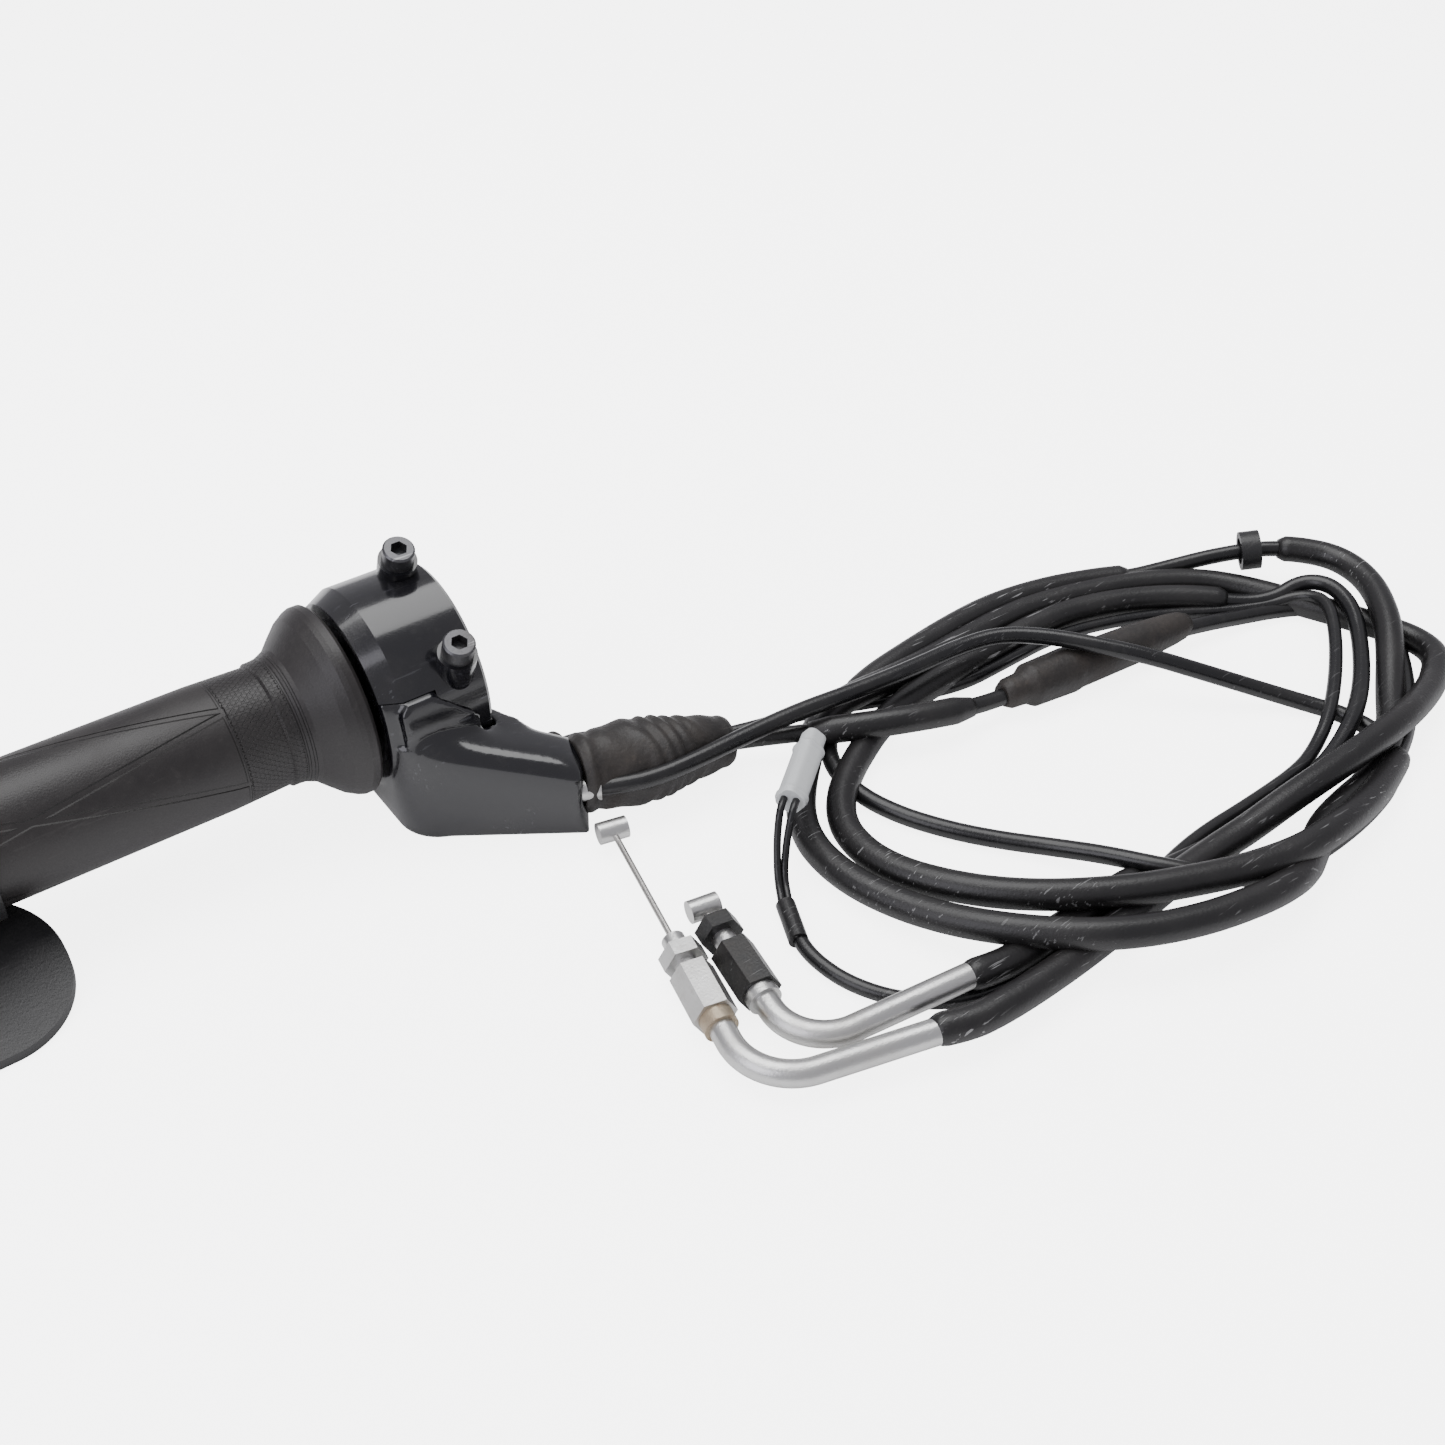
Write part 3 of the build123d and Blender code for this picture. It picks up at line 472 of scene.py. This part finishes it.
def off_barrel(margin):
    """The part of the neck that stands at least that far out of the round barrel, above the table face."""
    def inside(where):
        reach = math.hypot(where.y, where.z)
        return where.y < -9 and where.z < 2 and where.z > TABLE_Z + 1.2 and reach > 28.3 + margin
    return inside


housing_skin = softened("housing_skin", ("housing_body", "case_cover"), "gloss_black",
                        ((lambda where: True, 3), (off_barrel(0), 40), (off_barrel(1.5), 60),
                         (off_barrel(3), 70)))
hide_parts("housing_body", "case_cover")

# ---------------------------------------------------------------- cables
pull_curve = cable_curve("pull_cable_line", PULL_LINE)
return_curve = cable_curve("return_cable_line", RETURN_LINE)
lead_curve = cable_curve("switch_lead_line", LEAD_LINE)
pull_points = centre_points(pull_curve)
return_points = centre_points(return_curve)
lead_points = centre_points(lead_curve)


for curve, radius in ((pull_curve, CABLE_R), (return_curve, CABLE_R), (lead_curve, LEAD_R)):
    curve.bevel_depth = radius * 0.001
    curve.bevel_resolution = 5
    curve.use_fill_caps = True
pull_cable = place_object("throttle_pull_cable", pull_curve, "cable_sheath")
return_cable = place_object("throttle_return_cable", return_curve, "cable_sheath")
switch_lead = place_object("kill_switch_lead", lead_curve, "cable_sheath")
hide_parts("pull_cable", "pull_cable_crossing", "cable_coil")
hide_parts("return_cable")
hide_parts("switch_lead", "switch_lead_tail")

# ---------------------------------------------------------------- sleeves
clip_to_elbow = stretch(pull_points, (262, -83.2, -19.8), PULL_LINE[-1])
pull_sleeve = sleeve("pull_elbow_sleeve", clip_to_elbow)
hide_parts("pull_end_sleeve")
pull_back_sleeve = sleeve("pull_back_sleeve", stretch(pull_points, (111, -52.8, -28.8), (221, -58.6, -28)))
short_run = stretch(return_points, (86.5, -62.6, -24.4), (131, -81, -24.6))
short_sleeve = sleeve("return_short_guard", short_run, 4.0, 6)
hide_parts("return_short_sleeve")
coil_sleeve = sleeve("return_coil_sleeve", stretch(return_points, (215, -165, -27.4), (236.5, -85.6, -28)))
return_sleeve = sleeve("return_elbow_sleeve", stretch(return_points, (122, -155, -28), RETURN_LINE[-1]), 4.0)
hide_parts("return_end_sleeve")

# ---------------------------------------------------------------- boot
BOOT_START = (20.6, -43.8, -19.4)
BOOT_END = (66.0, -51.2, -24.7)
BOOT_STEPS = 90


def boot_radius(share, angle):
    """Rounded body that swells, then falls away to a narrow nose, with creases across it."""
    swell = 9.6 + 2.2 * math.sin(min(1.0, share / 0.62) * math.pi * 0.62)
    swell -= 5.2 * max(0.0, share - 0.55) ** 1.2 / 0.383
    collar = 1.0 * math.exp(-((share - 0.05) / 0.035) ** 2) + 0.5 * math.exp(-((share - 0.97) / 0.03) ** 2)
    creases = 0.32 * math.sin(share * 58 + 2.2 * math.sin(angle * 2 + 1) + 3 * math.sin(share * 11))
    dents = 0.75 * math.sin(angle * 2 + share * 7) * math.sin(math.pi * share)
    return (swell + collar + creases * math.sin(math.pi * share) + dents) * 0.001


boot_line = straight(BOOT_START, BOOT_END, BOOT_STEPS)
boot = tube("wrinkled_boot", boot_line, lambda index, angle: boot_radius(index / BOOT_STEPS, angle),
            "dusty_rubber", 48)
for vertex in boot.data.vertices:
    vertex.co.z = max(vertex.co.z, TABLE_Z * 0.001)
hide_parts("cable_boot")

# ---------------------------------------------------------------- adjuster cover
COVER_START = (142.6, -81.9, -25.0)
COVER_RUN = (0.9949, -0.1008, 0.0)
COVER_LENGTH = 71.0
COVER_PROFILE = ((0.0, 3.4), (0.03, 4.6), (0.1, 4.9), (0.14, 6.6), (0.34, 7.0), (0.38, 6.5), (0.72, 6.0),
                 (0.9, 5.0), (0.96, 4.4), (1.0, 3.2))


def cover_radius(share):
    for (start, first), (end, last) in zip(COVER_PROFILE, COVER_PROFILE[1:]):
        if share <= end:
            return (first + (last - first) * (share - start) / (end - start)) * 0.001
    return COVER_PROFILE[-1][1] * 0.001


COVER_STEPS = 100
cover_end = Vector(COVER_START) + Vector(COVER_RUN) * COVER_LENGTH
cover_line = straight(COVER_START, cover_end, COVER_STEPS)
cover = tube("adjuster_rubber_cover", cover_line, lambda index, angle: cover_radius(index / COVER_STEPS),
             "dusty_rubber", 32)
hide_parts("adjuster_cover")

# ---------------------------------------------------------------- connector
CONNECTOR_NOSE = (76.6, -76.4, -11.9)
CONNECTOR_TAIL = (56.2, -92.4, -12.6)
CONNECTOR_STEPS = 70


def connector_radius(share, angle):
    """Rounded square shell with a raised collar and a stepped nose."""
    square = 1.0 / (abs(math.cos(angle)) ** 4 + abs(math.sin(angle)) ** 4) ** 0.25
    body = 3.5 if share > 0.18 else 3.0
    rim = 0.35 if 0.9 < share < 0.97 or 0.2 < share < 0.25 else 0.0
    return (body + rim) * min(square, 1.14) * 0.001


connector_line = straight(CONNECTOR_NOSE, CONNECTOR_TAIL, CONNECTOR_STEPS)
connector = tube("lead_connector", connector_line,
                 lambda index, angle: connector_radius(index / CONNECTOR_STEPS, angle), "pale_plastic", 40)
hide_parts("connector_housing")

# ---------------------------------------------------------------- floor, light
floor_mesh = bpy.data.meshes.new("floor")
floor_mesh.from_pydata([(-4, -4, 0), (4, -4, 0), (4, 4, 0), (-4, 4, 0)], [], [(0, 1, 2, 3)])
floor = bpy.data.objects.new("floor", floor_mesh)
floor.location = (0, 0, TABLE_Z * 0.001)
bpy.context.scene.collection.objects.link(floor)
white = bpy.data.materials.new("pale_floor")
white.use_nodes = True
white_shader = white.node_tree.nodes["Principled BSDF"]
white_shader.inputs["Base Color"].default_value = (0.9, 0.9, 0.9, 1)
white_shader.inputs["Roughness"].default_value = 0.9
white_shader.inputs["Emission Color"].default_value = (1, 1, 1, 1)
# The floor glows strongly to the camera and faintly to all else, so that it shows near white
# without lighting the black parts much from below.
seen = white.node_tree.nodes.new("ShaderNodeLightPath").outputs["Is Camera Ray"]
glow = maths(white.node_tree, "MULTIPLY_ADD", seen, 4.5, 0.25)
join(white.node_tree, glow, white_shader.inputs["Emission Strength"])
floor_mesh.materials.append(white)

world = bpy.data.worlds.new("studio")
world.use_nodes = True
sky = world.node_tree.nodes["Background"]
sky.inputs["Color"].default_value = (0.95, 0.94, 1.0, 1)
sky.inputs["Strength"].default_value = 0.55
bpy.context.scene.world = world


def lamp(name, place, target, size, power, colour=(1, 1, 1)):
    """A rectangular softbox at a place, in metres, that faces its target."""
    data = bpy.data.lights.new(name, "AREA")
    data.shape = "RECTANGLE"
    data.size, data.size_y = size
    data.energy = power
    data.color = colour
    holder = bpy.data.objects.new(name, data)
    holder.location = place
    holder.rotation_euler = (Vector(target) - Vector(place)).to_track_quat("-Z", "Y").to_euler()
    bpy.context.scene.collection.objects.link(holder)


lamp("overhead_softbox", (0.1, 0.25, 1.1), (0.1, -0.1, 0), (1.2, 0.8), 13)
lamp("left_softbox", (-0.9, -0.2, 0.6), (0, -0.05, 0), (0.7, 0.9), 5, (0.93, 0.92, 1))
